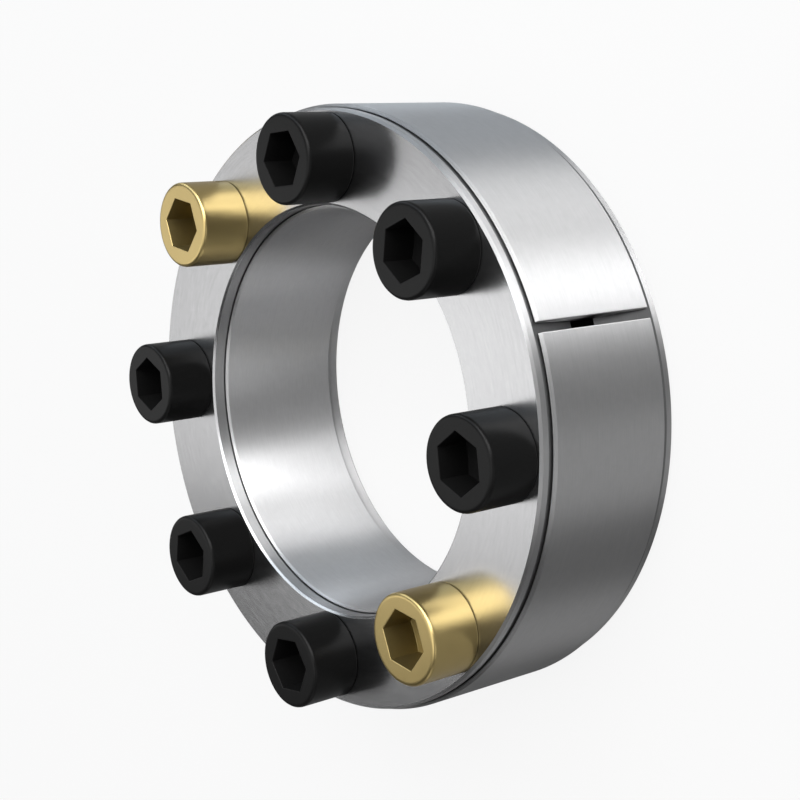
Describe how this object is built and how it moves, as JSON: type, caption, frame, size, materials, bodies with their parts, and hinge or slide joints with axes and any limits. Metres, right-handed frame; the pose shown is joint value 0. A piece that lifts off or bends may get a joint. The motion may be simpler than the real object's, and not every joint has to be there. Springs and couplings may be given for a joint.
{
  "type": "shaft locking assembly",
  "caption": "Keyless shaft locking assembly: split inner and outer rings clamped by two tapered pressure rings and a circle of cap screws.",
  "frame": {"origin": "on the bore's axis, in the plane of the rear face that it stands on", "axes": "+Z along the bore towards the screw heads, +X through the first black screw"},
  "size_m": [0.09, 0.09, 0.0334],
  "materials": {
    "ring_steel": "turned and satin brushed steel, lightly oiled",
    "black_oxide": "black oxide on hardened steel, satin",
    "yellow_zinc": "yellow passivated zinc plate, satin"
  },
  "bodies": {
    "rear_pressure_ring": {"rear_pressure_ring": "ring_steel"},
    "front_pressure_ring": {"front_pressure_ring": "ring_steel"},
    "outer_ring": {"outer_ring": "ring_steel"},
    "inner_ring": {"inner_ring": "ring_steel"},
    "clamp_screw_1": {"clamp_screw_1": "black_oxide"},
    "clamp_screw_2": {"clamp_screw_2": "black_oxide"},
    "clamp_screw_3": {"clamp_screw_3": "black_oxide"},
    "marker_screw_1": {"marker_screw_1": "yellow_zinc"},
    "clamp_screw_4": {"clamp_screw_4": "black_oxide"},
    "clamp_screw_5": {"clamp_screw_5": "black_oxide"},
    "clamp_screw_6": {"clamp_screw_6": "black_oxide"},
    "marker_screw_2": {"marker_screw_2": "yellow_zinc"}
  },
  "joints": [
    {"name": "clamp_screw_1_turn", "type": "hinge", "parent": "front_pressure_ring", "child": "clamp_screw_1", "pos_m": [0.0374, 0, 0.0254], "axis": [0, 0, 1], "range_deg": [-360, 720]},
    {"name": "clamp_screw_2_turn", "type": "hinge", "parent": "front_pressure_ring", "child": "clamp_screw_2", "pos_m": [0.02645, 0.02645, 0.0254], "axis": [0, 0, 1], "range_deg": [-360, 720]},
    {"name": "clamp_screw_3_turn", "type": "hinge", "parent": "front_pressure_ring", "child": "clamp_screw_3", "pos_m": [0, 0.0374, 0.0254], "axis": [0, 0, 1], "range_deg": [-360, 720]},
    {"name": "marker_screw_1_turn", "type": "hinge", "parent": "front_pressure_ring", "child": "marker_screw_1", "pos_m": [-0.02645, 0.02645, 0.0254], "axis": [0, 0, 1], "range_deg": [-360, 720]},
    {"name": "clamp_screw_4_turn", "type": "hinge", "parent": "front_pressure_ring", "child": "clamp_screw_4", "pos_m": [-0.0374, 0, 0.0254], "axis": [0, 0, 1], "range_deg": [-360, 720]},
    {"name": "clamp_screw_5_turn", "type": "hinge", "parent": "front_pressure_ring", "child": "clamp_screw_5", "pos_m": [-0.02645, -0.02645, 0.0254], "axis": [0, 0, 1], "range_deg": [-360, 720]},
    {"name": "clamp_screw_6_turn", "type": "hinge", "parent": "front_pressure_ring", "child": "clamp_screw_6", "pos_m": [0, -0.0374, 0.0254], "axis": [0, 0, 1], "range_deg": [-360, 720]},
    {"name": "marker_screw_2_turn", "type": "hinge", "parent": "front_pressure_ring", "child": "marker_screw_2", "pos_m": [0.02645, -0.02645, 0.0254], "axis": [0, 0, 1], "range_deg": [-360, 720]},
    {"name": "front_ring_travel", "type": "slide", "parent": "rear_pressure_ring", "child": "front_pressure_ring", "axis": [0, 0, 1], "range_m": [-0.00125, 0.0025]},
    {"name": "outer_ring_float", "type": "slide", "parent": "rear_pressure_ring", "child": "outer_ring", "axis": [0, 0, 1], "range_m": [-0.00063, 0.00125]},
    {"name": "inner_ring_float", "type": "slide", "parent": "rear_pressure_ring", "child": "inner_ring", "axis": [0, 0, 1], "range_m": [-0.00063, 0.00125]}
  ],
  "couplings": [
    {"joint": "clamp_screw_1_turn", "follows": "front_ring_travel", "rad_per_m": 5026.5},
    {"joint": "clamp_screw_2_turn", "follows": "front_ring_travel", "rad_per_m": 5026.5},
    {"joint": "clamp_screw_3_turn", "follows": "front_ring_travel", "rad_per_m": 5026.5},
    {"joint": "marker_screw_1_turn", "follows": "front_ring_travel", "rad_per_m": 5026.5},
    {"joint": "clamp_screw_4_turn", "follows": "front_ring_travel", "rad_per_m": 5026.5},
    {"joint": "clamp_screw_5_turn", "follows": "front_ring_travel", "rad_per_m": 5026.5},
    {"joint": "clamp_screw_6_turn", "follows": "front_ring_travel", "rad_per_m": 5026.5},
    {"joint": "marker_screw_2_turn", "follows": "front_ring_travel", "rad_per_m": 5026.5},
    {"joint": "outer_ring_float", "follows": "front_ring_travel", "ratio": 0.5},
    {"joint": "inner_ring_float", "follows": "front_ring_travel", "ratio": 0.5}
  ]
}
